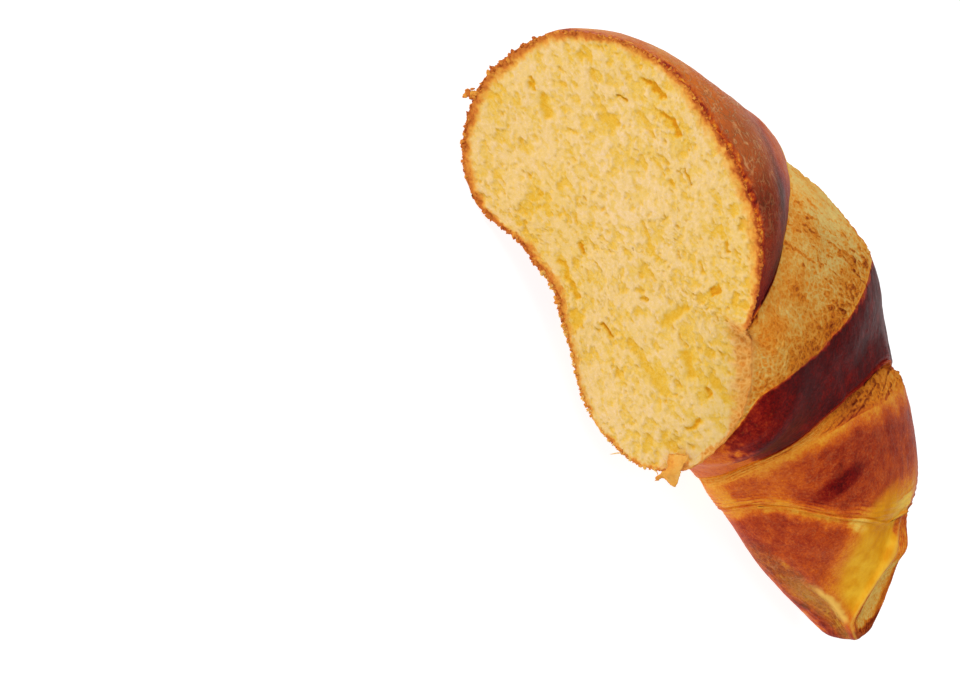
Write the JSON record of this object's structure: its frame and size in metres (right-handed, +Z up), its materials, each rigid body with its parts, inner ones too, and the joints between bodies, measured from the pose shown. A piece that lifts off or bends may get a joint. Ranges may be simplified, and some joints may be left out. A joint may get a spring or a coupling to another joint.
{
  "type": "brioche croissant half",
  "caption": "Cut half of a brioche crescent roll, lying flat: open crumb face, glossy stepped crust layers with torn joints, bending to a folded tip.",
  "frame": {"origin": "under the middle of the half's length and depth, level with the flat of its underside", "axes": "+X along the longest extent, from the outer side of the cut face to the tip; -Y out of the cut face; +Z up"},
  "size_m": [0.1556, 0.093, 0.0599],
  "materials": {
    "crust": "egg-washed baked crust, satin to gloss, reddish brown with paler torn joints",
    "crumb": "open yellow brioche crumb, matte"
  },
  "bodies": {
    "root": {"brioche_half": "crust"}
  },
  "joints": []
}
